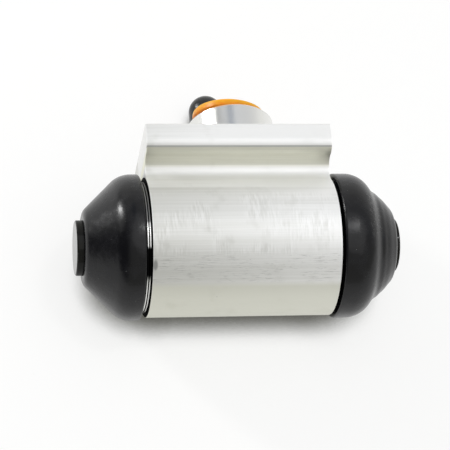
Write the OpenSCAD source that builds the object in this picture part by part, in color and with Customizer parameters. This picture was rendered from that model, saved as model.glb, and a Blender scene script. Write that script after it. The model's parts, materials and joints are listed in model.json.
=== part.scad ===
// Drum brake wheel cylinder: an extruded light-alloy body with a bore that is
// open at both ends, two sprung pistons behind rubber boots, and a mounting
// flange with the inlet and the bleeder at its back. Millimetres.
//
// X runs along the bore, +Y points out of the mounting face, +Z is up as the
// cylinder lies. The origin is the middle of the mounting face, on the line of
// the fixing bolts.

/* [Body] */
// Bore diameter, 13/16 inch
bore_d = 20.64; // [17:0.01:23]
// Outside diameter of the barrel
barrel_d = 31; // [29:0.1:33]
// Length of the extruded body
body_len = 41.3; // [38:0.1:48]
// Distance from the bore axis to the mounting face
axis_to_face = 22.3; // [21:0.1:25]
// Height of the mounting flange
flange_h = 32.4; // [31:0.1:36]
// Thickness of the mounting flange
flange_t = 6.4; // [4.5:0.1:6.8]
// Radius along the front edges of the flange
flange_edge_r = 2.6; // [1:0.1:2.8]
// Radius along the back edges of the flange
flange_back_r = 0.5; // [0.2:0.1:1]
// Fillet between the flange and the barrel
web_fillet_r = 3.1; // [2:0.05:5]
// Diameter of the turned spigot that carries each boot
spigot_d = 27.2; // [26:0.1:28]
// Length of the spigot's neck, which shows between the barrel and the boot
neck_len = 1.3; // [1:0.05:2]
// Height of the two fine lips round the neck
neck_lip_h = 0.8; // [0.3:0.1:1.2]
// Thickness of each lip round the neck
neck_lip_t = 0.22; // [0.14:0.02:0.3]
// Length of the spigot inside the boot
spigot_len = 3.2; // [2.8:0.1:3.6]
// Depth of the boot groove in the spigot
spigot_groove = 0.6; // [0.3:0.1:0.9]
// Width of the boot groove in the spigot
spigot_groove_w = 1.4; // [1:0.1:2]
// Chamfer at the mouths of the bore
bore_chamfer = 0.8; // [0.3:0.1:1.2]

/* [Ports] */
// Sideways place of the inlet
inlet_x = 1.3; // [0.5:0.1:2.2]
// Diameter of the inlet boss
boss_d = 19.6; // [19:0.1:20.4]
// Length of the inlet boss
boss_len = 9.2; // [8:0.1:14]
// Hole for the inlet thread, M10 x 1
inlet_d = 9; // [8:0.1:10]
// Depth of the inlet thread
inlet_depth = 9; // [8:0.1:12]
// Diameter of the two drillings to the bore
drilling_d = 2; // [1:0.1:3]
// Sideways place of the bleeder
bleed_x = -1.8; // [-2.8:0.1:-1.5]
// Height of the bleeder below the inlet
bleed_drop = 12.1; // [12:0.1:12.4]
// Diameter of the bleeder boss
bleed_boss_d = 7; // [6.8:0.1:7.3]
// Length of the bleeder boss
bleed_boss_len = 9.4; // [7:0.1:12]
// Hole for the bleeder thread, M6
bleed_d = 5.2; // [4.6:0.1:5.6]
// How far the bleeder seat lies behind the mounting face
bleed_seat = 2; // [1:0.1:3]
// Distance between the two fixing bolts
bolt_spacing = 30; // [29.4:0.1:32]
// Hole for the fixing bolt thread, M6
bolt_d = 5; // [4:0.1:6]
// Depth of the fixing bolt holes
bolt_depth = 9; // [6:0.1:10]

/* [Pistons] */
// Distance from the middle of the body to each piston's end face
piston_reach = 36; // [35:0.1:38.5]
// Length of the piston's crown, which runs in the bore
crown_len = 12.9; // [10:0.1:14]
// Diameter of the piston's stem
stem_d = 12.2; // [10:0.1:13]
// Length of the crown and stem together
piston_len = 25; // [23:0.1:26]
// Thickness of the stem's end disc, outside the boot
disc_t = 1.5; // [1:0.1:2.5]
// Depth of the boot groove in the stem
stem_groove = 0.6; // [0.3:0.1:1]
// Depth of the hollow in the crown's outer side
crown_hollow = 3; // [1:0.1:5]
// Chamfer on the piston's edges
piston_chamfer = 0.25; // [0.1:0.05:0.8]

/* [Cups and spring] */
// Length of the rubber cup
cup_len = 5; // [4:0.1:6]
// Thickness of the cup's heel
cup_heel = 2; // [1.5:0.1:2.5]
// Thickness of the cup's lip
cup_lip = 1.6; // [1:0.1:2]
// Thickness of the cup expander's plate
expander_t = 1.2; // [0.8:0.1:1.6]
// Length of the expander's hub, which centres the spring
hub_len = 2.6; // [1.5:0.1:3.5]
// Wire diameter of the return spring
wire_d = 1.2; // [0.8:0.1:1.4]
// Middle diameter of the spring's coils
coil_d = 10.6; // [9.5:0.1:11]
// Coils of the return spring
coils = 6; // [5:1:7]

/* [Boots] */
// Outside diameter of the boot
boot_d = 32.3; // [31.5:0.1:33]
// Straight length of the boot's skirt
skirt_len = 1.8; // [1.2:0.1:2.4]
// Radius of the boot's shoulder
shoulder_r = 6; // [4:0.1:7]
// Radius round the boot's nose
nose_r = 2.6; // [1.6:0.1:3]
// Diameter of the flat at the boot's nose
nose_d = 13.9; // [13:0.1:15.5]
// Wall of the boot
boot_wall = 1.5; // [1:0.1:1.8]
// Length of the lip that grips the stem
lip_len = 2; // [1.4:0.1:2.6]
// Rounding at the open edge of the boot
boot_edge_r = 0.5; // [0.2:0.1:0.8]

/* [Bleeder and plug] */
// Size across the flats of the bleeder's hexagon
hex_af = 7; // [6.5:0.1:7.6]
// Length of the hexagon
hex_len = 5; // [4:0.1:6]
// Gap between the bleeder boss and the hexagon
hex_gap = 2.4; // [1:0.1:4]
// Diameter of the bleeder's hose nipple
nipple_d = 4.6; // [4:0.1:5.2]
// Length of the nipple beyond the hexagon
nipple_len = 5.4; // [4:0.1:6.5]
// Diameter of the bleeder's passage
bleed_passage_d = 1.8; // [1.2:0.1:2]
// Diameter of the bleeder's rubber cap
cap_d = 8; // [7:0.1:8.2]
// Length of the cap to the top of its dome
cap_len = 7.3; // [6.9:0.1:9]
// Diameter of the inlet plug's flange
plug_d = 16.5; // [14:0.1:16.8]
// Thickness of the plug's flange
plug_t = 2.4; // [1:0.1:3]
// Length of the plug's stem
plug_stem = 6; // [4:0.1:7]
// Wall of the plug's hollow stem
plug_wall = 1.2; // [0.8:0.1:1.6]

/* [Clearances] */
// Radial clearance of parts that run in a hole
run_clear = 0.05; // [0.02:0.01:0.1]
// Gap between faces that seat on each other
seat_gap = 0.05; // [0.02:0.01:0.1]

/* [Hidden] */
$fn = 64;
barrel_r = barrel_d / 2;
bore_r = bore_d / 2;
half_len = body_len / 2;
neck_x = half_len + neck_len;
mouth_x = neck_x + spigot_len;
// The fillet bites a little into the barrel and the flange, so that it meets both cleanly
bite = 0.02;
seat_r = barrel_r - bite;
seat_y = axis_to_face - flange_t + bite;
// The fillet may not climb past the rounded front edge of the flange
fillet_top = flange_h / 2 - flange_edge_r;
fillet_limit = (fillet_top * fillet_top / (seat_r + seat_y) - seat_r + seat_y) / 2;
fillet_r = min(web_fillet_r, fillet_limit);
fillet_y = bite - flange_t - fillet_r;
fillet_z = sqrt((seat_r + seat_y) * (seat_r - seat_y + 2 * fillet_r));
groove_x = spigot_len / 2 - spigot_groove_w / 2;
run_r = bore_r - run_clear;
stem_r = stem_d / 2;
crown_x = piston_reach - piston_len;
cup_x = crown_x - seat_gap - cup_len;
plate_x = crown_x - 2 * seat_gap - cup_heel - expander_t;
hub_r = coil_d / 2 - wire_d / 2 - 0.4;
spring_half = plate_x - seat_gap;
boot_x = neck_x + seat_gap;
boot_len = piston_reach - disc_t - seat_gap - boot_x;
boot_r = boot_d / 2;
hex_y = bleed_boss_len + hex_gap;
nipple_y = hex_y + hex_len;
tip_y = -bleed_seat + seat_gap;

alloy = [0.83, 0.83, 0.81];
steel = [0.62, 0.63, 0.64];
anodised = [0.09, 0.09, 0.085];
plated = [0.78, 0.77, 0.72];
rubber = [0.06, 0.06, 0.065];
orange = [0.98, 0.66, 0.16];

// Puts a revolved shape, drawn along +Z, on the right-hand half of the bore
module on_bore() {
    translate([0, -axis_to_face, 0]) rotate([0, 90, 0]) children();
}

// Puts a revolved shape, drawn along +Z, on a port at the mounting face
module on_port(x, z) {
    translate([x, 0, z]) rotate([-90, 0, 0]) children();
}

// Points of an arc in the drawing plane, from one angle to another
function arc(c, r, a0, a1, n = 8) =
    [for (i = [0:n]) let (a = a0 + (a1 - a0) * i / n) c + r * [cos(a), sin(a)]];

// Angle of the outward normal of the line that touches two circles
function tangent_angle(c0, r0, c1, r1) =
    let (d = c1 - c0) atan2(d[1], d[0]) - acos((r0 - r1) / norm(d));

// Section of the extrusion: barrel, web with its fillets, and flange
module body_section() {
    translate([-axis_to_face, 0]) circle(r = barrel_r, $fn = 128);
    difference() {
        polygon([[-axis_to_face, 0], [fillet_y, fillet_z], [-flange_t / 2, fillet_z],
                 [-flange_t / 2, -fillet_z], [fillet_y, -fillet_z]]);
        for (s = [-1, 1]) translate([fillet_y, s * fillet_z]) circle(r = fillet_r);
    }
    translate([-flange_t, -fillet_top]) square([flange_t, 2 * fillet_top]);
    for (s = [-1, 1]) {
        translate([flange_edge_r - flange_t, s * fillet_top]) circle(r = flange_edge_r);
        translate([-flange_back_r, s * (flange_h / 2 - flange_back_r)]) circle(r = flange_back_r);
    }
    translate([flange_edge_r - flange_t, -flange_h / 2])
        square([flange_t - flange_edge_r - flange_back_r, flange_h]);
    translate([-flange_back_r - 1, flange_back_r - flange_h / 2])
        square([flange_back_r + 1, flange_h - 2 * flange_back_r]);
}

// Turned end of the barrel: a spigot with two fine lips round its neck and the
// groove for the boot's rib
module turned_end() {
    sunk = 1;
    edge = 0.4;
    spigot_r = spigot_d / 2;
    lip_r = spigot_r + neck_lip_h;
    lip_gap = (neck_len - 2 * neck_lip_t) / 3;
    lips = [for (i = [0, 1]) let (x = sunk + lip_gap + i * (lip_gap + neck_lip_t))
        each [[spigot_r, x], [lip_r, x], [lip_r, x + neck_lip_t], [spigot_r, x + neck_lip_t]]];
    rib_r = spigot_r - spigot_groove;
    rib = sunk + neck_len + groove_x;
    end = sunk + neck_len + spigot_len;
    on_bore() translate([0, 0, half_len - sunk]) rotate_extrude($fn = 128)
        polygon(concat([[0, 0], [spigot_r, 0]], lips, [
            [spigot_r, rib], [rib_r, rib], [rib_r, rib + spigot_groove_w],
            [spigot_r, rib + spigot_groove_w],
            [spigot_r, end - edge], [spigot_r - edge, end], [0, end]]));
}

// Boss for a port, with a chamfered rim, sunk a little into the flange
module boss(d, len) {
    translate([0, 0, -1]) cylinder(d = d, h = len + 0.5);
    translate([0, 0, len - 0.5]) cylinder(d1 = d, d2 = d - 1, h = 0.5);
}

module housing() {
    // The bleeder's drilling slants from its seat to the middle of the bore
    slant = atan2(axis_to_face - bleed_seat, bleed_drop);
    color(alloy) difference() {
        union() {
            translate([-half_len, 0, 0]) rotate([90, 0, 90]) linear_extrude(body_len) body_section();
            turned_end();
            mirror([1, 0, 0]) turned_end();
            on_port(inlet_x, 0) boss(boss_d, boss_len);
            on_port(bleed_x, -bleed_drop) boss(bleed_boss_d, bleed_boss_len);
        }
        translate([-mouth_x - 1, 0, 0]) on_bore() cylinder(r = bore_r, h = 2 * mouth_x + 2, $fn = 128);
        for (m = [0, 1]) mirror([m, 0, 0]) on_bore() translate([0, 0, mouth_x - bore_chamfer])
            cylinder(r1 = bore_r, r2 = bore_r + 2 * bore_chamfer, h = 2 * bore_chamfer);
        on_port(inlet_x, 0) {
            translate([0, 0, boss_len - inlet_depth]) cylinder(d = inlet_d, h = inlet_depth + 1);
            translate([0, 0, -axis_to_face]) cylinder(d = drilling_d, h = axis_to_face + boss_len);
        }
        on_port(bleed_x, -bleed_drop) {
            translate([0, 0, -bleed_seat]) cylinder(d = bleed_d, h = bleed_seat + bleed_boss_len + 1);
            translate([0, 0, -bleed_seat]) rotate([180 - (90 - slant), 0, 0])
                cylinder(d = drilling_d, h = norm([axis_to_face - bleed_seat, bleed_drop]));
        }
        for (s = [-1, 1]) on_port(s * bolt_spacing / 2, 0) {
            translate([0, 0, -bolt_depth]) cylinder(d = bolt_d, h = bolt_depth + 1);
            translate([0, 0, -0.4]) cylinder(d1 = bolt_d, d2 = bolt_d + 1.6, h = 0.8);
        }
    }
}

// Crown, stem and the end disc that stands out of the boot
module piston() {
    c = piston_chamfer;
    g = stem_r - stem_groove;
    top = piston_len;
    color(anodised) on_bore() translate([0, 0, crown_x]) rotate_extrude($fn = 96)
        polygon([[0, 0], [run_r - c, 0], [run_r, c], [run_r, crown_len - c], [run_r - c, crown_len],
                 [run_r - 1.5, crown_len], [run_r - 1.5, crown_len - crown_hollow],
                 [stem_r, crown_len - crown_hollow], [stem_r, top - disc_t - lip_len - 2 * seat_gap],
                 [g, top - disc_t - lip_len - 2 * seat_gap], [g, top - disc_t], [stem_r, top - disc_t],
                 [stem_r, top - c], [stem_r - c, top], [0, top]]);
}

// Rubber cup with its lip towards the middle of the bore
module cup() {
    in = run_r - cup_lip;
    color(rubber) on_bore() translate([0, 0, cup_x]) rotate_extrude($fn = 96)
        polygon([[in + cup_lip / 2, 0], [run_r, 0], [run_r, cup_len - 0.6], [run_r - 0.6, cup_len],
                 [0, cup_len], [0, cup_len - cup_heel], [in - 0.8, cup_len - cup_heel],
                 [in, cup_len - cup_heel - 0.8]]);
}

// Plate that spreads the cup, with a hub inside the spring
module expander() {
    rim = run_r - cup_lip - 1.1;
    color(plated) on_bore() translate([0, 0, plate_x]) rotate_extrude()
        polygon([[0, -hub_len], [hub_r - 0.5, -hub_len], [hub_r, 0.5 - hub_len], [hub_r, 0],
                 [rim - 0.4, 0], [rim, 0.4], [rim, expander_t], [0, expander_t]]);
}

// Round wire swept along a helix whose end coils lie closed
module return_spring() {
    sides = 8;
    steps = 20 * coils;
    r = wire_d / 2;
    closed = wire_d * 1.04;
    open = (2 * spring_half - wire_d - 2 * closed) / (coils - 2);
    along = function (t) t < 1 ? closed * t
        : t > coils - 1 ? closed + open * (coils - 2) + closed * (t - coils + 1)
        : closed + open * (t - 1);
    points = [for (i = [0:steps]) let (t = coils * i / steps, a = 360 * t)
        for (j = [0:sides - 1]) let (b = 360 * j / sides, d = coil_d / 2 + r * cos(b))
            [d * cos(a), d * sin(a), along(t) + r * sin(b)]];
    skin = [for (i = [0:steps - 1]) for (j = [0:sides - 1]) let (k = (j + 1) % sides)
        [i * sides + j, (i + 1) * sides + j, (i + 1) * sides + k, i * sides + k]];
    ends = [[for (j = [0:sides - 1]) j], [for (j = [sides - 1:-1:0]) steps * sides + j]];
    color(steel) on_bore() translate([0, 0, r - spring_half])
        polyhedron(points = points, faces = concat(skin, ends), convexity = 8);
}

// Rubber boot: skirt on the spigot with a rib in its groove, round shoulder,
// cone, and a lip in the stem's groove
module boot() {
    skirt_in = spigot_d / 2 + run_clear;
    rib_in = skirt_in - spigot_groove;
    rib0 = groove_x + run_clear;
    rib1 = groove_x + spigot_groove_w - run_clear;
    lip_in = stem_r - stem_groove + run_clear;
    lip_y = boot_len - lip_len;
    c0 = [boot_r - shoulder_r, skirt_len];
    c1 = [nose_d / 2, boot_len - nose_r];
    a = tangent_angle(c0, shoulder_r, c1, nose_r);
    // The cavity follows the outside less the wall, from the spigot's end to the lip
    n = [cos(a), sin(a)];
    inner_r = shoulder_r - boot_wall;
    cone0 = c0 + inner_r * n;
    cone1 = cone0 + [-n[1], n[0]] * ((lip_y - cone0[1]) / n[0]);
    mouth_y = spigot_len + 0.3;
    mouth_a = asin((mouth_y - skirt_len) / inner_r);
    color(rubber) on_bore() translate([0, 0, boot_x]) rotate_extrude($fn = 96)
        polygon(concat(
            [[skirt_in, 0]], arc([boot_r - boot_edge_r, boot_edge_r], boot_edge_r, -90, 0, 4),
            arc(c0, shoulder_r, 0, a, 10), arc(c1, nose_r, a, 90, 6),
            [[lip_in, boot_len], [lip_in, lip_y], cone1], arc(c0, inner_r, a, mouth_a, 6),
            [[skirt_in, mouth_y], [skirt_in, rib1], [rib_in, rib1], [rib_in, rib0], [skirt_in, rib0]]));
}

// Bleed screw: coned tip, threaded shank, hexagon and barbed nipple, drilled through
module bleeder_screw() {
    shank_r = bleed_d / 2 - run_clear;
    neck_r = nipple_d / 2 - 0.5;
    barb_len = 1.8;
    barb_back = 0.8;
    tip_len = 1.6;
    // The cross hole lies this far above the tip
    cross_y = tip_y + 3;
    color(plated) on_port(bleed_x, -bleed_drop) difference() {
        union() {
            translate([0, 0, tip_y]) cylinder(r1 = drilling_d / 2, r2 = shank_r, h = tip_len);
            translate([0, 0, tip_y + tip_len]) cylinder(r = shank_r, h = hex_y - tip_y - tip_len);
            intersection() {
                translate([0, 0, hex_y]) cylinder(d = hex_af / cos(30), h = hex_len, $fn = 6);
                translate([0, 0, hex_y])
                    cylinder(r1 = hex_af / 2 + hex_len * 2, r2 = hex_af / 2 - 0.2, h = hex_len + 0.1);
            }
            translate([0, 0, nipple_y]) cylinder(r = neck_r, h = nipple_len - barb_len);
            translate([0, 0, nipple_y + nipple_len - barb_len - barb_back])
                cylinder(r1 = neck_r, r2 = nipple_d / 2, h = barb_back);
            translate([0, 0, nipple_y + nipple_len - barb_len])
                cylinder(r1 = nipple_d / 2, r2 = neck_r - 0.3, h = barb_len);
        }
        translate([0, 0, cross_y]) cylinder(d = bleed_passage_d, h = nipple_y + nipple_len);
        translate([-shank_r - 1, 0, cross_y]) rotate([0, 90, 0])
            cylinder(d = bleed_passage_d, h = 2 * shank_r + 2);
    }
}

// Domed rubber cap over the nipple
module bleeder_cap() {
    r = cap_d / 2;
    in = nipple_d / 2 + run_clear;
    dome = cap_len - r;
    color(rubber) on_port(bleed_x, -bleed_drop) translate([0, 0, nipple_y + seat_gap]) rotate_extrude()
        polygon(concat([[in, 0], [r - 0.3, 0], [r, 0.3]], arc([0, dome], r, 0, 90, 12),
                       [[0, nipple_len + 0.3], [in - 0.8, nipple_len + 0.3], [in, nipple_len - 0.5]]));
}

// Push-in plug with a thin flange and a hollow stem
module inlet_plug() {
    in = inlet_d / 2 - run_clear;
    color(orange) on_port(inlet_x, 0) translate([0, 0, boss_len + seat_gap]) rotate_extrude()
        polygon([[0, -plug_stem], [in - 0.8, -plug_stem], [in, 0.8 - plug_stem], [in, 0],
                 [plug_d / 2 - 0.2, 0], [plug_d / 2, 0.3], [plug_d / 2, plug_t - 0.4],
                 [plug_d / 2 - 0.4, plug_t], [in - plug_wall, plug_t],
                 [in - plug_wall, plug_wall - plug_stem], [0, plug_wall - plug_stem]]);
}

module left_piston() mirror([1, 0, 0]) piston();
module right_piston() piston();
module left_cup() mirror([1, 0, 0]) cup();
module right_cup() cup();
module left_expander() mirror([1, 0, 0]) expander();
module right_expander() expander();
module left_boot() mirror([1, 0, 0]) boot();
module right_boot() boot();

housing();
left_piston();
right_piston();
left_cup();
right_cup();
left_expander();
right_expander();
return_spring();
left_boot();
right_boot();
bleeder_screw();
bleeder_cap();
inlet_plug();
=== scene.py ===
"""Looks of a drum brake wheel cylinder.

The body, pistons, cups, expanders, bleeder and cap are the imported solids, dressed here. The two rubber
boots and the return spring are modelled here, because they stretch as the pistons slide, and so are the
soft inlet plug, which sits askew, and the thread that shows on the bleed screw. Lengths in the classes
are millimetres.
"""

from __future__ import annotations

import json
import logging
import math
from collections.abc import Mapping, Sequence
from dataclasses import dataclass
from enum import Enum
from typing import Any

import bpy
from mathutils import Matrix, Vector


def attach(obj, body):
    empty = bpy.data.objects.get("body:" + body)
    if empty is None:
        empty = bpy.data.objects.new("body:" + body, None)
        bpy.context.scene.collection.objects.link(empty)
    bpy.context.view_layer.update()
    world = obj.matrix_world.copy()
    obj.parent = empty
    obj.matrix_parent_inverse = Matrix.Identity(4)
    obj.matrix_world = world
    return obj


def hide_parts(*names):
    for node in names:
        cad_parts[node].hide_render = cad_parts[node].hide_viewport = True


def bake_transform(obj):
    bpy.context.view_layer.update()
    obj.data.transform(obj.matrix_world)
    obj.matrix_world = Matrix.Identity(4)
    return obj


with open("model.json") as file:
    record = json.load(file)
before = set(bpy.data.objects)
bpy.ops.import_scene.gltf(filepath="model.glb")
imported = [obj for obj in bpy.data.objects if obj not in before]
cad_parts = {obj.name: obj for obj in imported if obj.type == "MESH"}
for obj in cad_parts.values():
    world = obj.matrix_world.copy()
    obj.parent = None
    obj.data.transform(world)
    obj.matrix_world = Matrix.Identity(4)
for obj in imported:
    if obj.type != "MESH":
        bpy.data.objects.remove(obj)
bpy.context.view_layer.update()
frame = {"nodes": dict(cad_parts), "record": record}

LOG = logging.getLogger("wheel_cylinder")
MM = 0.001
AXIS_Y = -22.3

Colour = tuple[float, float, float]
Pair = tuple[float, float]


def radians(span: Pair) -> Pair:
    """A span of degrees in radians."""
    return math.radians(span[0]), math.radians(span[1])


class Side(Enum):
    """Which half of the cylinder a piece belongs to, as the sign of its X."""

    LEFT = -1
    RIGHT = 1

    @property
    def word(self) -> str:
        """The side's word in node and body names."""
        return self.name.lower()


class Value:
    """A socket of a shader tree, with arithmetic that adds Math nodes."""

    def __init__(self, shader: Shader, socket: bpy.types.NodeSocket) -> None:
        """Keep the tree and the socket that gives the value."""
        self.shader = shader
        self.socket = socket

    def __add__(self, other: Value | float) -> Value:
        """Sum."""
        return self.shader.maths("ADD", self, other)

    def __radd__(self, other: float) -> Value:
        """Sum with a number on the left."""
        return self.shader.maths("ADD", other, self)

    def __sub__(self, other: Value | float) -> Value:
        """Difference."""
        return self.shader.maths("SUBTRACT", self, other)

    def __rsub__(self, other: float) -> Value:
        """Difference from a number on the left."""
        return self.shader.maths("SUBTRACT", other, self)

    def __mul__(self, other: Value | float) -> Value:
        """Product."""
        return self.shader.maths("MULTIPLY", self, other)

    def __rmul__(self, other: float) -> Value:
        """Product with a number on the left."""
        return self.shader.maths("MULTIPLY", other, self)

    def __truediv__(self, other: Value | float) -> Value:
        """Quotient."""
        return self.shader.maths("DIVIDE", self, other)

    def __abs__(self) -> Value:
        """Size without the sign."""
        return self.shader.maths("ABSOLUTE", self)


class Shader:
    """A node tree that is being written."""

    def __init__(self, tree: bpy.types.NodeTree) -> None:
        """Start from an empty tree."""
        self.tree = tree
        tree.nodes.clear()

    def node(self, kind: str, settings: Mapping[str, Any] | None = None,
             sockets: Mapping[str | int, Any] | None = None, output: str | int = 0) -> Value:
        """Add one node.

        Args:
            kind: The node's type.
            settings: Its properties, set first; stops are a ramp's places and colours.
            sockets: Numbers, colours or values for its inputs, by name or index.
            output: The output to give back.

        Returns:
            The chosen output.
        """
        made = self.tree.nodes.new(kind)
        for name, setting in (settings or {}).items():
            if name == "stops":
                self._set_stops(made.color_ramp, setting)
            else:
                setattr(made, name, setting)
        for key, given in (sockets or {}).items():
            if isinstance(given, Value):
                self.tree.links.new(given.socket, made.inputs[key])
            else:
                made.inputs[key].default_value = given
        return Value(self, made.outputs[output]) if made.outputs else Value(self, made.inputs[0])

    @staticmethod
    def _set_stops(ramp: bpy.types.ColorRamp, stops: Sequence[tuple[float, Colour]]) -> None:
        """Write a ramp's stops in order."""
        while len(ramp.elements) < len(stops):
            ramp.elements.new(1.0)
        for element, (place, colour) in zip(ramp.elements, stops):
            element.position = place
            element.color = (*colour, 1.0)

    def maths(self, operation: str, *given: Value | float) -> Value:
        """Add a Math node on values and numbers."""
        return self.node("ShaderNodeMath", {"operation": operation}, dict(enumerate(given)))

    def split(self, vector: Value) -> tuple[Value, Value, Value]:
        """The three parts of a vector."""
        made = self.node("ShaderNodeSeparateXYZ", sockets={0: vector}).socket.node
        return Value(self, made.outputs[0]), Value(self, made.outputs[1]), Value(self, made.outputs[2])

    def join(self, x: Value | float, y: Value | float, z: Value | float) -> Value:
        """A vector from three values."""
        return self.node("ShaderNodeCombineXYZ", sockets={0: x, 1: y, 2: z})

    def place_mm(self) -> Value:
        """The point on the piece, in millimetres of the part's own frame."""
        point = self.node("ShaderNodeTexCoord", output="Object")
        return self.node("ShaderNodeVectorMath", {"operation": "SCALE"}, {0: point, "Scale": 1 / MM})

    def noise(self, where: Value, scale: float = 1.0, detail: float = 2.0, rough: float = 0.5) -> Value:
        """Noise from 0 to 1 about one half."""
        return self.node("ShaderNodeTexNoise", sockets={
            "Vector": where, "Scale": scale, "Detail": detail, "Roughness": rough})

    def step(self, value: Value, low: float, high: float) -> Value:
        """A smooth rise from 0 at low to 1 at high; low may be above high for a fall."""
        if low > high:
            return 1.0 - self.step(value, high, low)
        return self.node("ShaderNodeMapRange", {"interpolation_type": "SMOOTHSTEP"},
                         {0: value, 1: low, 2: high, 3: 0.0, 4: 1.0})

    def band(self, value: Value, low: float, high: float, soft: float) -> Value:
        """1 between low and high, falling to 0 within soft outside them."""
        return self.step(value, low - soft, low) * self.step(value, high + soft, high)

    def mix(self, factor: Value | float, a: Value | Colour, b: Value | Colour, blend: str = "MIX") -> Value:
        """A colour between a and b, or a as b tints it."""
        first, second = ((*c, 1.0) if isinstance(c, tuple) else c for c in (a, b))
        settings = {"data_type": "RGBA", "blend_type": blend}
        return self.node("ShaderNodeMix", settings, {0: factor, 6: first, 7: second}, output=2)

    def specks(self, where: Value, scale: float, share: float, size: float) -> Value:
        """Scattered spots.

        Args:
            where: The point, in millimetres.
            scale: Cells in a millimetre.
            share: The share of cells that have a spot.
            size: A spot's radius as a share of a cell.

        Returns:
            1 in a spot and 0 outside it.
        """
        cell = self.node("ShaderNodeTexVoronoi", sockets={"Vector": where, "Scale": scale}).socket.node
        chosen, weight, _ = self.split(Value(self, cell.outputs["Color"]))
        radius = (0.35 + 0.65 * weight) * size
        inside = self.step(Value(self, cell.outputs["Distance"]) / radius, 1.0, 0.55)
        return inside * self.step(chosen, share + 0.01, share)

    def bump(self, height_mm: Value) -> Value:
        """A normal from a height in millimetres."""
        return self.node("ShaderNodeBump", sockets={"Strength": 1.0, "Distance": MM, "Height": height_mm})

    def surface(self, sockets: Mapping[str | int, Any]) -> None:
        """Close the tree with a Principled shader that takes these sockets."""
        shader = self.node("ShaderNodeBsdfPrincipled", sockets=sockets)
        self.node("ShaderNodeOutputMaterial", sockets={"Surface": shader})


class Finish:
    """A finish that makes one material."""

    name: str

    def material(self) -> bpy.types.Material:
        """Make the material with its nodes."""
        made = bpy.data.materials.new(self.name)
        made.use_nodes = True
        self.write(Shader(made.node_tree))
        return made

    def write(self, s: Shader) -> None:
        """Write the nodes of this finish."""
        raise NotImplementedError


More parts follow.
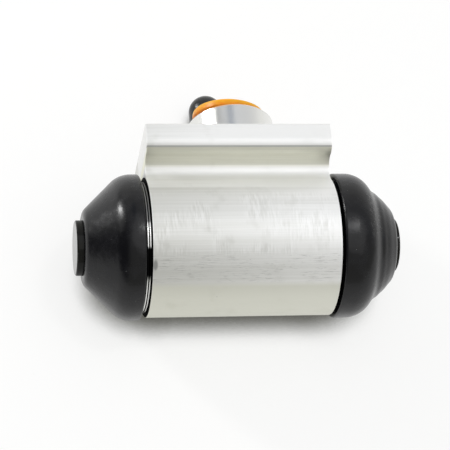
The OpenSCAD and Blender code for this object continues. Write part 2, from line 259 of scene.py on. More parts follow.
@dataclass(frozen=True)
class BodyAlloy(Finish):
    """Bare extruded aluminium, turned on the boss and at both ends, milled on the mounting face."""

    name: str = "body_alloy"
    colour: Colour = (0.90, 0.90, 0.885)
    deep_colour: Colour = (0.68, 0.68, 0.645)
    grime_and_shade_colour: Colour = (0.26, 0.26, 0.25)
    painted_reflection_colour: Colour = (0.72, 0.72, 0.635)
    hollow_tint: Colour = (1.0, 0.995, 0.88)
    neck_shade_colour: Colour = (0.006, 0.006, 0.006)
    drawn_rough: float = 0.61
    turned_rough: float = 0.24
    barrel_r: float = 15.5
    half_len: float = 20.65
    neck_x: float = 21.95
    neck_lip_r: float = 14.4
    edge_line: Pair = (-5.56, 14.6)
    hollow_y: Pair = (-7.6, -5.75)
    tint_start_y: Pair = (-8.4, -7.2)
    tint_end_y: Pair = (-5.5, -5.8)
    painted_reflection_angles: Pair = (-60.0, 27.0)
    painted_reflection_end_y: Pair = (-10.0, -12.0)
    painted_light_angles: Pair = (118.0, 121.0)
    bruise: Pair = (-20.2, 48.0)
    inlet_x: float = 1.3
    inlet_hole_r: float = 4.6
    bolt_x: float = 15.0
    bolt_hole_r: float = 2.6
    thread_pitch: float = 1.0
    thread_height: float = 0.5
    thread_end_y: Pair = (-14.0, -13.9)

    def write(self, s: Shader) -> None:
        """Draw lines along the extrusion, tool marks on turned faces and handling marks, with painted light
        and shade.
        """
        p = s.place_mm()
        x, y, z = s.split(p)
        ahead = AXIS_Y - y
        angle = s.maths("ARCTAN2", z, ahead)
        round_mm = angle * self.barrel_r
        turned_end = s.step(abs(x), self.half_len + 0.01, self.half_len + 0.03)
        behind = s.step(y, 0.02, 0.05)
        turned = s.maths("MAXIMUM", turned_end, behind)
        drawn = 1.0 - turned
        milled = s.step(y, -0.04, -0.01) * (1.0 - behind)
        broad = s.noise(s.join(x * 0.010, y * 0.9, z * 0.9), detail=2.0)
        fine = s.noise(s.join(x * 0.035, y * 6.5, z * 6.5), detail=3.0, rough=0.6)
        grain = s.noise(p, 11.0, detail=2.0)
        stroke, dash, nick = (mark * drawn for mark in self._handling(s, x, angle, round_mm))
        # Painted light: the back of the barrel, the web and the flange are made lighter.
        painted_light_back = s.step(angle, *radians(self.painted_light_angles)) * drawn
        tool = s.noise(s.join(x * turned_end * 9.0, y * behind * 9.0, milled * (x + z) * 4.0), detail=3.0)
        smudge = s.step(s.noise(p, 0.22, detail=3.0), 0.56, 0.74)
        edge = s.band(abs(x), self.half_len - 0.12, self.half_len, 0.1) * drawn
        tone = 0.55 + (fine - 0.5) * 0.9 * drawn + (broad - 0.5) * 0.8 * drawn - smudge * 0.18
        # Painted light: x * 0.022 makes the drawn surface lighter towards the right.
        tone = tone + (stroke * 0.20 + x * 0.022 + painted_light_back * 0.55 + edge * 0.3) * drawn
        tone = tone + (tool - 0.5) * 0.5 * turned
        bare = s.mix(s.maths("MINIMUM", s.maths("MAXIMUM", tone, 0.0), 1.0), self.deep_colour, self.colour)
        line_y, line_z = self.edge_line
        # Painted shadow: a dark line along the flange's front edge, mixed below with the real dashes and
        # nicks.
        painted_shadow_line = s.step(abs(y - line_y), 0.26, 0.06) * s.step(abs(z), line_z, line_z + 0.1)
        marks = s.maths("MAXIMUM", dash * 0.32, nick)
        dirt_and_painted_shade = s.maths("MAXIMUM", painted_shadow_line * (0.25 + 0.6 * broad), marks) * drawn
        within = s.step(abs(x), self.half_len - 0.02, self.half_len - 0.06)
        # Painted shade: the hollow under the flange's front is darkened.
        hollow = s.band(y, *self.hollow_y, 0.15) * within
        dirt_and_painted_shade = s.maths("MAXIMUM", dirt_and_painted_shade, hollow * (0.08 + 0.18 * fine))
        # Painted reflection and shade: the drawn barrel's lower front is darker and olive, for the floor
        # seen in it.
        dust_film_and_painted_reflection = s.band(angle, *radians(self.painted_reflection_angles), 0.12) * s.step(y, *self.painted_reflection_end_y) * drawn
        # Painted shade: black in the necks between the barrel and the boots.
        painted_neck_black = self._painted_neck_shade(s, x, ahead, z, angle)
        with_painted_reflection = s.mix(dust_film_and_painted_reflection * 0.8, bare, self.painted_reflection_colour)
        # A warmer tint across the hollow under the flange's front.
        warm_band = s.step(y, *self.tint_start_y) * s.step(y, *self.tint_end_y) * drawn
        with_painted_reflection = s.mix(warm_band, with_painted_reflection, self.hollow_tint, "MULTIPLY")
        colour = s.mix(painted_neck_black, s.mix(dirt_and_painted_shade, with_painted_reflection, self.grime_and_shade_colour), self.neck_shade_colour)
        rough = self.drawn_rough + (fine - 0.5) * 0.14 + (broad - 0.5) * 0.10 + (grain - 0.5) * 0.06
        rough = rough - stroke * 0.03 + nick * 0.12 + smudge * 0.05 - edge * 0.08
        rough = rough * drawn + (self.turned_rough + (tool - 0.5) * 0.12) * turned + painted_neck_black * 0.3
        height = (fine - 0.5) * 0.010 * drawn + (grain - 0.5) * 0.004 + (tool - 0.5) * 0.010
        height = height + stroke * 0.002 - dash * 0.01 - nick * 0.03 + self._threads(s, x, y, z)
        s.surface({"Base Color": colour, "Metallic": 1.0, "Roughness": rough, "Normal": s.bump(height)})

    def _painted_neck_shade(self, s: Shader, x: Value, ahead: Value, z: Value, angle: Value) -> Value:
        """Painted shade: black in the necks between the barrel and the boots, which lie in shade.

        On the left neck the black is left off the lips in front and partly over the top. The right neck is
        black all over.

        Args:
            s: The shader.
            x: Place along the barrel.
            ahead: Place in front of the bore axis.
            z: Place above the bore axis.
            angle: Angle round the bore axis, from the front.

        Returns:
            1 where the neck is painted black.
        """
        radius = s.maths("SQRT", ahead * ahead + z * z)
        inner = s.step(radius, self.barrel_r - 0.05, self.barrel_r - 0.10)
        neck = s.step(abs(x), self.half_len - 0.03, self.half_len - 0.01)
        neck = neck * s.step(abs(x), self.neck_x + 0.3, self.neck_x + 0.2) * inner
        lip = s.step(radius, self.neck_lip_r - 0.12, self.neck_lip_r - 0.08) * s.step(x, 0.0, -1.0)
        lip = lip * s.step(abs(x), self.half_len + 0.02, self.half_len + 0.04) * 0.9
        bare_lip_bands = s.step(angle, *radians((38, 31))) + s.band(angle, *radians((64, 82)), 0.06)
        bare_lip_bands = s.maths("MINIMUM", bare_lip_bands + 0.35 * s.step(angle, *radians((62, 66))), 1.0)
        return neck * (1.0 - lip * bare_lip_bands)

    def _handling(self, s: Shader, x: Value, angle: Value, round_mm: Value) -> tuple[Value, Value, Value]:
        """Strokes round the barrel's top, dashes and nicks along its front, and one bruise at the left.

        Args:
            s: The shader.
            x: Place along the barrel.
            angle: Angle round the barrel, from its front.
            round_mm: The same as a length on the barrel.

        Returns:
            The strokes, from -1 to 1, the dashes, and the nicks, each 1 where there is one.
        """
        patch = s.step(s.noise(s.join(x * 0.13, round_mm * 0.12, 4.0), detail=2.0), 0.42, 0.60)
        upper = s.band(angle, *radians((60, 108)), 0.12)
        lines = s.noise(s.join(x * 2.6, round_mm * 0.30, 7.5), detail=2.0, rough=0.6)
        stroke = (s.step(lines, 0.36, 0.64) * 2.0 - 1.0) * patch * upper
        worn = s.step(s.noise(s.join(x * 0.16, round_mm * 0.3, 9.0), detail=2.0), 0.40, 0.56)
        middle = s.band(angle, *radians((35, 54)), 0.08)
        streaks = s.noise(s.join(x * 0.36, round_mm * 4.2, 3.0), detail=3.0, rough=0.65)
        dash = s.step(streaks, 0.52, 0.64) * worn * middle
        front = s.band(angle, *radians((22, 55)), 0.12)
        nick = s.specks(s.join(x * 0.6, round_mm, 2.0), 0.75, 0.16, 0.15) * front * 0.6
        bruise_x, bruise_angle = self.bruise
        off_x = (x - bruise_x) / 0.7
        off_round = (round_mm - self.barrel_r * math.radians(bruise_angle)) / 1.6
        bruise = s.step(s.maths("SQRT", off_x * off_x + off_round * off_round), 1.0, 0.4) * 0.7
        return stroke, dash, s.maths("MAXIMUM", nick, bruise)

    def _threads(self, s: Shader, x: Value, y: Value, z: Value) -> Value:
        """Screw threads in the tapped holes.

        Args:
            s: The shader.
            x: Place along the bore.
            y: Place out of the mounting face.
            z: Place upwards.

        Returns:
            A height in millimetres, 0 outside the holes.
        """
        height: Value | float = 0.0
        near = s.step(y, *self.thread_end_y)
        holes = ((self.bolt_x, self.bolt_hole_r), (-self.bolt_x, self.bolt_hole_r),
                 (self.inlet_x, self.inlet_hole_r))
        for hole_x, hole_r in holes:
            off = x - hole_x
            inside = s.step(s.maths("SQRT", off * off + z * z), hole_r, hole_r - 0.06)
            turn = s.maths("ARCTAN2", z, off) / (2 * math.pi)
            wave = s.maths("PINGPONG", y / self.thread_pitch + turn, 0.5)
            height = height + wave * inside * near * self.thread_height
        return height


@dataclass(frozen=True)
class BlackAnodised(Finish):
    """Turned alloy under a glossy black oxide, with fine rings on its faces and lines round its sides."""

    name: str = "piston_alloy"
    colour: Colour = (0.005, 0.005, 0.004)
    worn_colour: Colour = (0.030, 0.030, 0.022)
    rough: float = 0.4
    side_coat: float = 0.35
    coat_rough: float = 0.10
    face_x: float = 35.8

    def write(self, s: Shader) -> None:
        """Rings by distance from the bore axis, lines along it, and a few dull stains."""
        p = s.place_mm()
        x, y, z = s.split(p)
        off = y - AXIS_Y
        radius = s.maths("SQRT", off * off + z * z)
        rings = s.noise(s.join(radius * 4.5, x * 6.0, 0.0), detail=3.0, rough=0.6)
        stain = s.step(s.noise(p, 0.35, detail=4.0, rough=0.6), 0.5, 0.75)
        speck = s.specks(p, 0.9, 0.2, 0.18)
        worn = s.maths("MINIMUM", s.step(rings, 0.45, 0.85) * 0.5 + stain * 0.3 + speck * 0.5, 1.0)
        colour = s.mix(worn, self.colour, self.worn_colour)
        rough = self.rough + (rings - 0.5) * 0.10 + stain * 0.08 + speck * 0.1
        height = (rings - 0.5) * 0.006 - speck * 0.01
        face = s.step(abs(x), self.face_x, self.face_x + 0.15)
        coat = self.side_coat + (1.0 - self.side_coat) * face - stain * 0.1
        s.surface({"Base Color": colour, "Roughness": rough, "Normal": s.bump(height),
                   "Specular IOR Level": 0.0, "Coat Weight": coat, "Coat Roughness": self.coat_rough})


@dataclass(frozen=True)
class Rubber(Finish):
    """Moulded black rubber with a fine matt grain, a bloom in patches and a little dust."""

    name: str
    colour: Colour = (0.0028, 0.0028, 0.0036)
    bloom_colour: Colour = (0.0075, 0.0075, 0.0090)
    dust_colour: Colour = (0.36, 0.36, 0.35)
    rough: float = 0.24
    gloss: float = 0.32
    dust: float = 0.10
    settled: float = 0.0
    settled_x: Pair = (27.8, 30.0)
    settled_height: Pair = (7.5, 11.5)
    upward: Pair = (0.5, 0.87)

    def write(self, s: Shader) -> None:
        """Grain, bloom and dust."""
        p = s.place_mm()
        grain = s.noise(p, 9.0, detail=3.0, rough=0.6)
        wave = s.noise(p, 0.55, detail=2.0)
        bloom = s.step(s.noise(p, 0.28, detail=4.0, rough=0.62), 0.42, 0.74)
        dust = s.specks(p, 0.55, self.dust, 0.11) + s.specks(p, 1.7, self.dust * 0.6, 0.11)
        x, y, z = s.split(p)
        up_y, up_z = self.upward
        raised = z * up_z + (y - AXIS_Y) * up_y
        lying = s.band(x, *self.settled_x, 0.9) * s.step(raised, *self.settled_height) * self.settled
        fluff = s.step(s.noise(p, 3.4, detail=4.0, rough=0.7), 0.66, 0.78) * 0.10
        dust_film_and_painted_reflection = s.step(s.noise(p, 1.5, detail=5.0, rough=0.8), 0.46, 0.66) * lying
        dust = s.maths("MINIMUM", dust + fluff + dust_film_and_painted_reflection, 1.0)
        colour = s.mix(dust, s.mix(bloom, self.colour, self.bloom_colour), self.dust_colour)
        rough = self.rough + (grain - 0.5) * 0.12 + bloom * 0.06 + (wave - 0.5) * 0.06 + dust * 0.25
        height = (grain - 0.5) * 0.003 + (wave - 0.5) * 0.04 + dust * 0.02
        s.surface({"Base Color": colour, "Roughness": rough, "Normal": s.bump(height),
                   "Specular IOR Level": self.gloss})


@dataclass(frozen=True)
class PlatedSteel(Finish):
    """Zinc-plated steel with a faint yellow cast and tool marks along its axis."""

    name: str = "plated_steel"
    colour: Colour = (0.74, 0.73, 0.67)
    dull_colour: Colour = (0.52, 0.51, 0.46)
    rough: float = 0.27

    def write(self, s: Shader) -> None:
        """Crystalline mottling and fine marks."""
        p = s.place_mm()
        x, y, z = s.split(p)
        mottle = s.noise(p, 1.6, detail=4.0, rough=0.6)
        marks = s.noise(s.join(x * 0.6, y * 5.0, z * 0.6), detail=2.0)
        tone = s.step(0.6 * mottle + 0.4 * marks, 0.3, 0.65)
        colour = s.mix(tone, self.dull_colour, self.colour)
        rough = self.rough + (mottle - 0.5) * 0.2 + (marks - 0.5) * 0.08
        height = (marks - 0.5) * 0.010 + (mottle - 0.5) * 0.008
        s.surface({"Base Color": colour, "Metallic": 1.0, "Roughness": rough, "Normal": s.bump(height)})


@dataclass(frozen=True)
class SpringWire(Finish):
    """Drawn spring wire with an oily bloom."""

    name: str = "spring_steel"
    colour: Colour = (0.50, 0.50, 0.51)
    dull_colour: Colour = (0.30, 0.30, 0.31)
    rough: float = 0.30

    def write(self, s: Shader) -> None:
        """Mottled wire with fine pits."""
        p = s.place_mm()
        mottle = s.noise(p, 1.3, detail=4.0, rough=0.6)
        pits = s.noise(p, 12.0, detail=2.0)
        colour = s.mix(s.step(mottle, 0.3, 0.7), self.dull_colour, self.colour)
        rough = self.rough + (mottle - 0.5) * 0.2
        s.surface({"Base Color": colour, "Metallic": 1.0, "Roughness": rough,
                   "Normal": s.bump((pits - 0.5) * 0.012)})


@dataclass(frozen=True)
class PlugPlastic(Finish):
    """Soft orange polythene, waxy and slightly see-through, with moulding flow marks."""

    name: str = "plug_plastic"
    colour: Colour = (0.90, 0.43, 0.020)
    deep_colour: Colour = (0.80, 0.25, 0.012)
    rough: float = 0.34
    gloss: float = 0.25
    see_through: float = 0.25
    light_reach: Colour = (0.0025, 0.0011, 0.0003)
    head_y: float = 10.32
    head_slope: Pair = (0.080, 0.0875)

    def write(self, s: Shader) -> None:
        """Painted shade and light: deeper colour low on the head by the boss, lighter towards its outer
        edge; clouds and scuffs.
        """
        p = s.place_mm()
        cloud = s.noise(p, 0.5, detail=3.0)
        scuff = s.step(s.noise(p, 2.3, detail=5.0, rough=0.65), 0.55, 0.75)
        x, y, z = s.split(p)
        slope_x, slope_z = self.head_slope
        # Painted shade and light: deep colour by the boss, where the head is in shade, and the plain colour
        # towards its outer edge.
        painted_shade_to_light = s.step(y - self.head_y + x * slope_x + z * slope_z + (cloud - 0.5) * 0.8, 0.1, 1.5)
        colour = s.mix(painted_shade_to_light, self.deep_colour, self.colour)
        rough = self.rough + (cloud - 0.5) * 0.12 + scuff * 0.12
        height = (cloud - 0.5) * 0.03 - scuff * 0.006
        s.surface({"Base Color": colour, "Roughness": rough, "Normal": s.bump(height),
                   "Specular IOR Level": self.gloss, "Subsurface Weight": self.see_through,
                   "Subsurface Radius": self.light_reach, "Subsurface Scale": 1.0})


@dataclass(frozen=True)
class PaleTable(Finish):
    """White card under the part, which keeps its shadow."""

    name: str = "pale_table"
    colour: Colour = (0.86, 0.86, 0.85)
    shown_colour: Colour = (0.27, 0.27, 0.267)
    glow_colour: Colour = (0.75, 0.75, 0.745)
    painted_contact_shade_colour: Colour = (0.105, 0.105, 0.090)
    close_mm: float = 10.0
    close_span: Pair = (0.28, 0.74)

    def write(self, s: Shader) -> None:
        """White with a faint tooth, softly lit from within for the eye, with a painted contact shadow where
        the part is close.
        """
        p = s.place_mm()
        tooth = s.noise(p, 0.4, detail=3.0)
        path = s.node("ShaderNodeLightPath").socket.node
        camera, glossy, through = (
            Value(s, path.outputs[f"Is {ray} Ray"]) for ray in ("Camera", "Glossy", "Transmission"))
        seen = s.maths("MAXIMUM", s.maths("MAXIMUM", camera, glossy), through)
        # Painted contact shadow: ambient occlusion darkens the table's colour and glow where the part is
        # close.
        free = s.node("ShaderNodeAmbientOcclusion", sockets={"Distance": self.close_mm * MM}, output="AO")
        lit = s.step(free, *self.close_span) * (0.99 + 0.01 * tooth)
        shown = s.mix(lit, (0.0, 0.0, 0.0), self.shown_colour)
        matt = s.node("ShaderNodeBsdfDiffuse", sockets={"Color": s.mix(seen, self.colour, shown)})
        glow = s.node("ShaderNodeEmission", sockets={
            "Color": s.mix(lit, self.painted_contact_shade_colour, self.glow_colour), "Strength": seen})
        both = s.node("ShaderNodeAddShader", sockets={0: matt, 1: glow})
        s.node("ShaderNodeOutputMaterial", sockets={"Surface": both})


def deselect_all() -> None:
    """Leave nothing selected, so that the next operator acts on its own piece alone."""
    if bpy.context.object is not None and bpy.context.object.mode != "OBJECT":
        bpy.ops.object.mode_set(mode="OBJECT")
    bpy.ops.object.select_all(action="DESELECT")


def settle(name: str) -> bpy.types.Object:
    """Name the active piece and put its place into its mesh.

    Args:
        name: The piece's name.

    Returns:
        The piece, at the origin.
    """
    piece = bpy.context.object
    bpy.ops.object.transform_apply(location=True, rotation=True, scale=True)
    piece.name = name
    piece.data.name = name
    return piece


def dress(piece: bpy.types.Object, material: bpy.types.Material) -> None:
    """Give the whole piece one material."""
    piece.data.materials.clear()
    piece.data.materials.append(material)


@dataclass
class Boot:
    """Rubber boot between the barrel and the piston's stem.

    It is a ring of rubber turned about the bore axis: a skirt with a rounded open edge, a round
    shoulder, a cone that may be creased under the shoulder and swell towards the nose, a rolled nose,
    a lip in the stem's groove, and the inner wall.
    """

    side: Side
    open_x: float = 22.0
    nose_x: float = 34.45
    groove_x: float = 34.45
    radius: float = 16.15
    edge_r: float = 0.5
    overlap: float = 0.0
    overlap_r: float = 14.85
    skirt_len: float = 1.8
    shoulder_r: float = 6.0
    nose_r: float = 2.6
    nose_flat_r: float = 6.95
    nose_hole_r: float = 6.2
    crease: float = 0.0
    swell: float = 0.0
    crease_share: float = 0.52
    wall: float = 1.5
    lip_len: float = 2.0
    lip_in_r: float = 5.55
    lip_edge: float = 0.2
    seat_r: float = 13.65
    seat_len: float = 3.5
    rib_depth: float = 0.6
    rib_span: Pair = (0.95, 2.25)
    around: int = 160

    def _cone(self) -> tuple[Pair, Pair, float]:
        """Centres of the shoulder and of the nose as (along, out), and the angle of the line between."""
        shoulder = (self.skirt_len, self.radius - self.shoulder_r)
        nose = (self.nose_x - self.open_x - self.nose_r, self.nose_flat_r)
        along = nose[0] - shoulder[0]
        out = nose[1] - shoulder[1]
        reach = math.hypot(along, out)
        angle = math.atan2(along, out) - math.acos((self.shoulder_r - self.nose_r) / reach)
        return shoulder, nose, angle

    @staticmethod
    def _arc(centre: Pair, r: float, a0: float, a1: float, n: int) -> list[Pair]:
        """Points of an arc; the angle is measured from outwards towards the nose."""
        turns = [a0 + (a1 - a0) * i / n for i in range(n + 1)]
        return [(centre[0] + r * math.sin(a), centre[1] + r * math.cos(a)) for a in turns]

    def _dip(self, t: float) -> float:
        """How far the cone is drawn in at a share t of its length, from the shoulder to the nose."""
        if t < self.crease_share:
            return self.crease * math.sin(math.pi * t / self.crease_share) ** 2
        return -self.swell * math.sin(math.pi * (t - self.crease_share) / (1 - self.crease_share)) ** 2

    def _cone_points(self, shoulder_end: Pair, nose_end: Pair, n: int) -> list[Pair]:
        """Points between the two ends of the cone, from the shoulder to the nose."""
        points = []
        for i in range(1, n):
            t = i / n
            along = shoulder_end[0] + (nose_end[0] - shoulder_end[0]) * t
            out = shoulder_end[1] + (nose_end[1] - shoulder_end[1]) * t
            points.append((along, out - self._dip(t)))
        return points

    def section(self) -> list[Pair]:
        """The boot's section as (along, out) from its open edge, once round."""
        shoulder, nose, angle = self._cone()
        length = self.nose_x - self.open_x
        quarter = math.pi / 2
        edge_at = (self.edge_r - self.overlap, self.radius - self.edge_r)
        edge = self._arc(edge_at, self.edge_r, -quarter, 0.0, 6)
        outer = self._arc(shoulder, self.shoulder_r, 0.0, angle, 18)
        rolled = self._arc(nose, self.nose_r, angle, quarter, 10)
        inner_r = self.shoulder_r - self.wall
        start = math.asin((self.seat_len - self.skirt_len) / inner_r)
        inner = self._arc(shoulder, inner_r, angle, start, 12)
        lip_end = self.groove_x - self.open_x
        lip_x = lip_end - self.lip_len
        cone_end = inner[0]
        slope = math.tan(angle)
        lip_out = cone_end[1] - (lip_x - cone_end[0]) / slope
        edge_r = self.lip_in_r + self.lip_edge
        lip = [(lip_end, edge_r), (lip_end - self.lip_edge, self.lip_in_r),
               (lip_x + self.lip_edge, self.lip_in_r), (lip_x, edge_r), (lip_x, lip_out)]
        if length > lip_end:
            lip = [(length, self.nose_hole_r + self.lip_edge), (length - self.lip_edge, self.nose_hole_r),
                   (lip_end, self.nose_hole_r), *lip]
        rib0, rib1 = self.rib_span
        rib_r = self.seat_r - self.rib_depth
        seat = [(self.seat_len, self.seat_r), (rib1, self.seat_r), (rib1, rib_r), (rib0, rib_r),
                (rib0, self.seat_r), (0.0, self.seat_r)]
        if self.overlap:
            seat += [(0.0, self.overlap_r), (-self.overlap, self.overlap_r + 0.1)]
        cone = self._cone_points(outer[-1], rolled[0], 20)
        hollow = self._cone_points(cone_end, (lip_x, lip_out), 20)[::-1]
        return edge + outer + cone + rolled + lip + hollow + inner + seat

    def build(self) -> bpy.types.Object:
        """Turn the section about the bore axis, ring by ring, and close it on its first ring."""
        deselect_all()
        sign = self.side.value
        rings = [(sign * (self.open_x + along) * MM, out * MM) for along, out in self.section()]
        axis_y = AXIS_Y * MM
        first_x, first_r = rings[0]
        bpy.ops.mesh.primitive_circle_add(vertices=self.around, radius=first_r, fill_type="NOTHING",
                                          location=(first_x, axis_y, 0.0), rotation=(0.0, math.pi / 2, 0.0))
        bpy.ops.object.mode_set(mode="EDIT")
        bpy.ops.mesh.select_all(action="SELECT")
        at_x, at_r = first_x, first_r
        for x, r in rings[1:] + rings[:1]:
            bpy.ops.mesh.extrude_region_move(TRANSFORM_OT_translate={"value": (x - at_x, 0.0, 0.0)})
            scale = r / at_r
            bpy.ops.transform.resize(value=(1.0, scale, scale), center_override=(x, axis_y, 0.0))
            at_x, at_r = x, r
        bpy.ops.mesh.select_all(action="SELECT")
        bpy.ops.mesh.remove_doubles(threshold=1e-6)
        bpy.ops.mesh.normals_make_consistent(inside=False)
        bpy.ops.object.mode_set(mode="OBJECT")
        bpy.ops.object.shade_smooth_by_angle(angle=math.radians(40))
        return settle(f"{self.side.word}_boot_rubber")

    def make(self, material: bpy.types.Material) -> bpy.types.Object:
        """Build the boot and dress it, in its place between the barrel and its piston.

        Args:
            material: The boots' rubber.

        Returns:
            The boot.
        """
        piece = self.build()
        dress(piece, material)
        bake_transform(piece)
        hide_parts(f"{self.side.word}_boot")
        return piece


@dataclass
class SpringHalf:
    """Half of the return spring, from the middle of the bore to one expander, with a closed end coil."""

    side: Side
    half_len: float = 7.65
    wire_r: float = 0.6
    coil_r: float = 5.3
    closed_share: float = 2.08
    coils: float = 3.0
    steps: int = 36
    sides: int = 14

    @property
    def closed(self) -> float:
        """Rise of the closed end coil."""
        return self.closed_share * self.wire_r

    def build(self) -> bpy.types.Object:
        """Sweep a round wire along the helix, one short length at a time."""
        deselect_all()
        sign = self.side.value
        pitch = (self.half_len - self.wire_r - self.closed) / (self.coils - 1.0)
        axis = (0.0, AXIS_Y * MM, 0.0)
        bpy.ops.mesh.primitive_circle_add(
            vertices=self.sides, radius=self.wire_r * MM, fill_type="NOTHING",
            location=(0.0, (AXIS_Y + self.coil_r) * MM, 0.0))
        bpy.ops.object.mode_set(mode="EDIT")
        bpy.ops.mesh.select_all(action="SELECT")
        count = round(self.coils * self.steps)
        for i in range(count):
            rise = self.closed if i >= count - self.steps else pitch
            bpy.ops.mesh.extrude_region_move(
                TRANSFORM_OT_translate={"value": (sign * rise * MM / self.steps, 0.0, 0.0)})
            bpy.ops.transform.rotate(value=sign * 2 * math.pi / self.steps, orient_axis="X",
                                     center_override=axis)
        bpy.ops.mesh.select_all(action="SELECT")
        bpy.ops.mesh.fill_holes(sides=0)
        bpy.ops.mesh.select_all(action="SELECT")
        bpy.ops.mesh.normals_make_consistent(inside=False)
        bpy.ops.object.mode_set(mode="OBJECT")
        bpy.ops.object.shade_smooth_by_angle(angle=math.radians(50))
        return settle(f"{self.side.word}_spring_half")

    def make(self, material: bpy.types.Material) -> bpy.types.Object:
        """Build the half and dress it, in its place from the middle of the bore to its piston.

        Args:
            material: The spring's wire.

        Returns:
            The half spring.
        """
        piece = self.build()
        dress(piece, material)
        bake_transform(piece)
        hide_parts("return_spring")
        return piece


@dataclass
class BleederThread:
    """The turns of screw thread that show between the bleeder's boss and its hexagon."""

    place: Pair = (-1.8, -12.1)
    start_y: float = 9.5
    pitch: float = 1.0
    turns: int = 2
    root_r: float = 2.5
    crest_r: float = 2.95
    fullness: float = 1.2
    steps: int = 48

    def build(self) -> bpy.types.Object:
        """Screw a small ridge section round the shank."""
        deselect_all()
        middle = (self.root_r + self.crest_r) / 2
        half = (self.crest_r - self.root_r) / 2
        bpy.ops.mesh.primitive_circle_add(vertices=4, radius=half * MM * self.fullness, fill_type="NOTHING",
                                          location=(middle * MM, 0.0, 0.0))
        bpy.ops.object.transform_apply(location=True, rotation=True, scale=True)
        screw = bpy.context.object.modifiers.new("Thread", "SCREW")
        screw.axis = "Y"
        screw.screw_offset = self.pitch * MM
        screw.iterations = self.turns
        screw.steps = self.steps
        screw.render_steps = self.steps
        screw.use_smooth_shade = True
        bpy.ops.object.modifier_apply(modifier=screw.name)
        bpy.ops.object.mode_set(mode="EDIT")
        bpy.ops.mesh.select_all(action="SELECT")
        bpy.ops.mesh.fill_holes(sides=4)
        bpy.ops.mesh.select_all(action="SELECT")
        bpy.ops.mesh.normals_make_consistent(inside=False)
        bpy.ops.object.mode_set(mode="OBJECT")
        bpy.ops.object.shade_smooth_by_angle(angle=math.radians(35))
        bpy.context.object.location = (self.place[0] * MM, self.start_y * MM, self.place[1] * MM)
        return settle("bleeder_thread")

    def make(self, material: bpy.types.Material) -> bpy.types.Object:
        """Build the thread, dress it and let it turn with the bleed screw.

        Args:
            material: The plated steel.

        Returns:
            The thread.
        """
        piece = self.build()
        dress(piece, material)
        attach(piece, "bleeder_screw")
        return piece


@dataclass
class InletPlug:
    """Soft transport plug in the inlet: a straight hollow stem, and a round head that sits askew."""

    boss_x: float = 1.3
    boss_end: float = 9.25
    stem_r: float = 4.4
    stem_len: float = 6.0
    wall: float = 1.2
    head_r: float = 8.25
    head_t: float = 1.8
    edge_r: float = 0.45
    tip_edge: float = 0.8
    rim_edge: float = 0.3
    root: float = 0.2
    shift: float = -0.3
    gap: float = 0.3
    tilt: float = 4.6
    lift: float = 5.0
    around: int = 96

    def section(self) -> list[Pair]:
        """The plug's section as (along, out) from the boss's end: tip, stem, head, edge and hollow."""
        inner = self.stem_r - self.wall
        top = self.head_t - self.edge_r
        turns = [math.radians(a) for a in (0, 22.5, 45, 67.5, 90)]
        edge = [(top + self.edge_r * math.sin(a), self.head_r - self.edge_r + self.edge_r * math.cos(a))
                for a in turns]
        under = 0.02
        return [(-self.stem_len, self.stem_r - self.tip_edge), (self.tip_edge - self.stem_len, self.stem_r),
                (-self.root, self.stem_r), (under, self.stem_r), (under, self.head_r - self.rim_edge),
                (self.rim_edge, self.head_r), *edge, (self.head_t, inner + self.rim_edge),
                (self.head_t - self.rim_edge, inner), (-self.root, inner),
                (self.wall - self.stem_len, inner)]

    def build(self) -> bpy.types.Object:
        """Turn the section about the inlet's axis, ring by ring, then push the head askew."""
        deselect_all()
        rings = [((self.boss_end + along) * MM, out * MM) for along, out in self.section()]
        at_y, at_r = rings[0]
        axis_x = self.boss_x * MM
        bpy.ops.mesh.primitive_circle_add(vertices=self.around, radius=at_r, fill_type="NOTHING",
                                          location=(axis_x, at_y, 0.0), rotation=(math.pi / 2, 0.0, 0.0))
        bpy.ops.object.mode_set(mode="EDIT")
        bpy.ops.mesh.select_all(action="SELECT")
        for y, r in rings[1:]:
            bpy.ops.mesh.extrude_region_move(TRANSFORM_OT_translate={"value": (0.0, y - at_y, 0.0)})
            scale = r / at_r
            bpy.ops.transform.resize(value=(scale, 1.0, scale), center_override=(axis_x, y, 0.0))
            at_y, at_r = y, r
        bpy.ops.mesh.select_all(action="SELECT")
        bpy.ops.mesh.fill_holes(sides=0)
        bpy.ops.mesh.select_all(action="SELECT")
        bpy.ops.mesh.normals_make_consistent(inside=False)
        bpy.ops.object.mode_set(mode="OBJECT")
        piece = settle("inlet_plug_moulding")
        self._push_askew(piece)
        bpy.ops.object.shade_smooth_by_angle(angle=math.radians(35))
        return piece

    def _push_askew(self, piece: bpy.types.Object) -> None:
        """Turn the head about the edge that stays on the boss, and leave the stem straight.

        Args:
            piece: The plug, still straight.
        """
        bpy.ops.object.mode_set(mode="EDIT")
        bpy.ops.mesh.select_mode(type="VERT")
        bpy.ops.mesh.select_all(action="DESELECT")
        bpy.ops.object.mode_set(mode="OBJECT")
        for vertex in piece.data.vertices:
            vertex.select = vertex.co.y > self.boss_end * MM
        bpy.ops.object.mode_set(mode="EDIT")
        pivot = ((self.boss_x + self.head_r) * MM, self.boss_end * MM, 0.0)
        bpy.ops.transform.rotate(value=math.radians(self.tilt), orient_axis="Z", center_override=pivot)
        bpy.ops.transform.rotate(value=-math.radians(self.lift), orient_axis="X", center_override=pivot)
        bpy.ops.transform.translate(value=(self.shift * MM, self.gap * MM, 0.0))
        bpy.ops.object.mode_set(mode="OBJECT")

    def make(self, material: bpy.types.Material) -> bpy.types.Object:
        """Build the plug, dress it and let it be pulled out.

        Args:
            material: The plug's plastic.

        Returns:
            The plug.
        """
        piece = self.build()
        dress(piece, material)
        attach(piece, "inlet_plug")
        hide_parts("inlet_plug")
        return piece


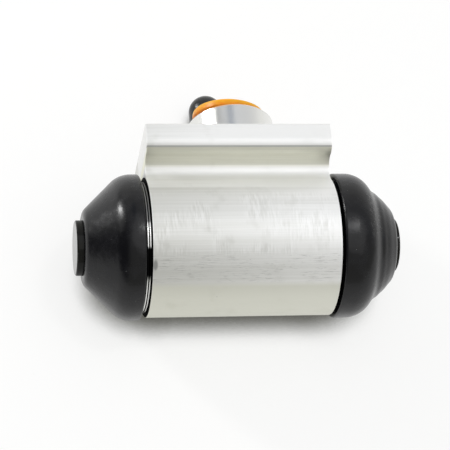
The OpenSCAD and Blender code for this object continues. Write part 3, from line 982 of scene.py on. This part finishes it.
@dataclass(frozen=True)
class SoftBox:
    """A rectangular soft light, given by where it stands in degrees from overhead."""

    name: str
    right: float
    back: float
    spread: Pair
    radiance: float
    away: float = 620.0

    def hang(self) -> bpy.types.Object:
        """Hang the light so that it faces the part."""
        right, back = math.radians(self.right), math.radians(self.back)
        way = Vector((math.sin(right), math.cos(right) * math.sin(back), math.cos(right) * math.cos(back)))
        lamp = bpy.data.lights.new(self.name, "AREA")
        lamp.shape = "RECTANGLE"
        lamp.size, lamp.size_y = (2 * self.away * MM * math.tan(math.radians(a / 2)) for a in self.spread)
        lamp.energy = self.radiance * math.pi * lamp.size * lamp.size_y
        held = bpy.data.objects.new(self.name, lamp)
        bpy.context.scene.collection.objects.link(held)
        held.location = Vector((0.0, AXIS_Y, 0.0)) * MM + way * self.away * MM
        held.rotation_euler = way.to_track_quat("Z", "Y").to_euler()
        return held


@dataclass
class Studio:
    """White table, soft sky, soft lights, and the camera."""

    table_z: float = -16.22
    table_half: float = 1500.0
    boxes: tuple[SoftBox, ...] = (SoftBox("softbox", 12.0, -7.0, (52.0, 60.0), 0.70),
                                  SoftBox("softbox_middle", 14.0, 3.0, (4.5, 8.0), 25.0),
                                  SoftBox("window", -49.5, 60.0, (6.0, 16.0), 42.0))
    sky_stops: tuple[tuple[float, Colour], ...] = (
        (0.0, (0.51, 0.51, 0.48)), (0.20, (0.50, 0.50, 0.48)), (0.35, (0.51, 0.51, 0.51)),
        (0.55, (0.50, 0.51, 0.54)), (0.66, (0.59, 0.60, 0.63)), (0.78, (0.72, 0.72, 0.72)),
        (0.90, (0.86, 0.86, 0.85)), (1.0, (0.92, 0.92, 0.90)))
    sky_strength: float = 1.10
    beam_colour: Colour = (0.29, 0.32, 0.38)
    left_colour: Colour = (0.10, 0.10, 0.115)
    wall_colour: Colour = (0.80, 0.80, 0.78)
    target: tuple[float, float, float] = (-2.48, -17.9, 2.0)
    azimuth: float = 19.6
    elevation: float = 60.1
    roll: float = 16.7
    distance: float = 437.0
    focal_px: float = 1965.0
    image_px: float = 450.0
    sensor: float = 36.0

    def table(self) -> bpy.types.Object:
        """Lay the white table under the part."""
        deselect_all()
        bpy.ops.mesh.primitive_plane_add(size=2 * self.table_half * MM,
                                         location=(0.0, 0.0, self.table_z * MM))
        piece = settle("table")
        dress(piece, PaleTable().material())
        return piece

    def sky(self) -> None:
        """A dim front, a paler back, a bluish beam over it, and a dark left side with one pale wall."""
        world = bpy.data.worlds.new("soft_room")
        bpy.context.scene.world = world
        world.use_nodes = True
        s = Shader(world.node_tree)
        way = s.node("ShaderNodeTexCoord", output="Generated")
        x, y, z = s.split(way)
        turn = s.maths("ARCTAN2", z, 0.0 - y) / math.pi
        room = s.node("ShaderNodeValToRGB", {"stops": self.sky_stops}, {0: turn})
        beam = s.band(turn, 0.60, 0.74, 0.03) * s.band(x, -0.16, 0.0, 0.08)
        wall = s.band(turn, 0.62, 0.93, 0.03) * s.band(x, -0.90, -0.68, 0.06)
        dim = s.mix(s.step(x, -0.35, -0.70), s.mix(beam, room, self.beam_colour), self.left_colour)
        shaded = s.mix(wall, dim, self.wall_colour)
        camera = s.node("ShaderNodeLightPath", output="Is Camera Ray")
        light = s.node("ShaderNodeBackground", sockets={"Color": shaded, "Strength": self.sky_strength})
        white = s.node("ShaderNodeBackground", sockets={"Color": (1.0, 1.0, 1.0, 1.0), "Strength": 1.0})
        both = s.node("ShaderNodeMixShader", sockets={0: camera, 1: light, 2: white})
        s.node("ShaderNodeOutputWorld", sockets={"Surface": both})

    def camera(self) -> bpy.types.Object:
        """Stand the camera high in front, a little to the left and rolled."""
        az, el, roll = (math.radians(a) for a in (self.azimuth, self.elevation, self.roll))
        forward = Vector((math.sin(az) * math.cos(el), math.cos(az) * math.cos(el), -math.sin(el)))
        level = forward.cross(Vector((0.0, 0.0, 1.0))).normalized()
        upright = level.cross(forward)
        right = level * math.cos(roll) + upright * math.sin(roll)
        up = right.cross(forward)
        data = bpy.data.cameras.new("camera")
        data.sensor_width = self.sensor
        data.lens = self.focal_px / self.image_px * self.sensor
        data.clip_start = 0.01
        held = bpy.data.objects.new("camera", data)
        bpy.context.scene.collection.objects.link(held)
        turn = Matrix((right, up, -forward)).transposed().to_4x4()
        stand = Vector(self.target) * MM - forward * self.distance * MM
        held.matrix_world = Matrix.Translation(stand) @ turn
        bpy.context.scene.camera = held
        return held

    def make(self) -> None:
        """Set the table, the light, the camera and the plain view."""
        self.table()
        self.sky()
        for box in self.boxes:
            box.hang()
        self.camera()
        bpy.context.scene.view_settings.view_transform = "Standard"


@dataclass
class WheelCylinder:
    """The whole cylinder: dressed solids, boots, spring, thread and plug."""

    right_nose_x: float = 35.0
    right_skirt: float = 2.3
    right_crease: float = 0.36
    right_swell: float = 0.15
    right_overlap: float = 0.6
    boot_dust: float = 0.16
    cap_colour: Colour = (0.02, 0.021, 0.021)

    def dress_solids(self, finishes: Mapping[str, bpy.types.Material]) -> None:
        """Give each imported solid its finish.

        Args:
            finishes: A material for each slot of the record.
        """
        for part in frame["record"]["subparts"]:
            piece = frame["nodes"][part["node"]]
            for place in piece.material_slots:
                place.material = finishes[part["material_slot"]]
            LOG.info("dressed %s with %s", part["node"], part["material_slot"])

    def make(self) -> None:
        """Make the finishes, dress the solids and add the soft pieces."""
        made: tuple[Finish, ...] = (
            BodyAlloy(), BlackAnodised(), PlatedSteel(), SpringWire(), PlugPlastic(),
            Rubber("boot_rubber", settled=self.boot_dust), Rubber("seal_rubber", rough=0.32, dust=0.0),
            Rubber("cap_rubber", colour=self.cap_colour, dust=0.05))
        finishes = {finish.name: finish.material() for finish in made}
        self.dress_solids(finishes)
        boots = (Boot(Side.LEFT), Boot(Side.RIGHT, nose_x=self.right_nose_x, skirt_len=self.right_skirt,
                                       crease=self.right_crease, swell=self.right_swell,
                                       overlap=self.right_overlap))
        for boot in boots:
            LOG.info("modelled %s", boot.make(finishes["boot_rubber"]).name)
        for side in Side:
            LOG.info("modelled %s", SpringHalf(side).make(finishes["spring_steel"]).name)
        LOG.info("modelled %s", BleederThread().make(finishes["plated_steel"]).name)
        LOG.info("modelled %s", InletPlug().make(finishes["plug_plastic"]).name)


def main() -> None:
    """Build the cylinder and its studio."""
    logging.basicConfig(level=logging.INFO, format="%(name)s: %(message)s")
    WheelCylinder().make()
    Studio().make()


if __name__ == "__main__":
    main()
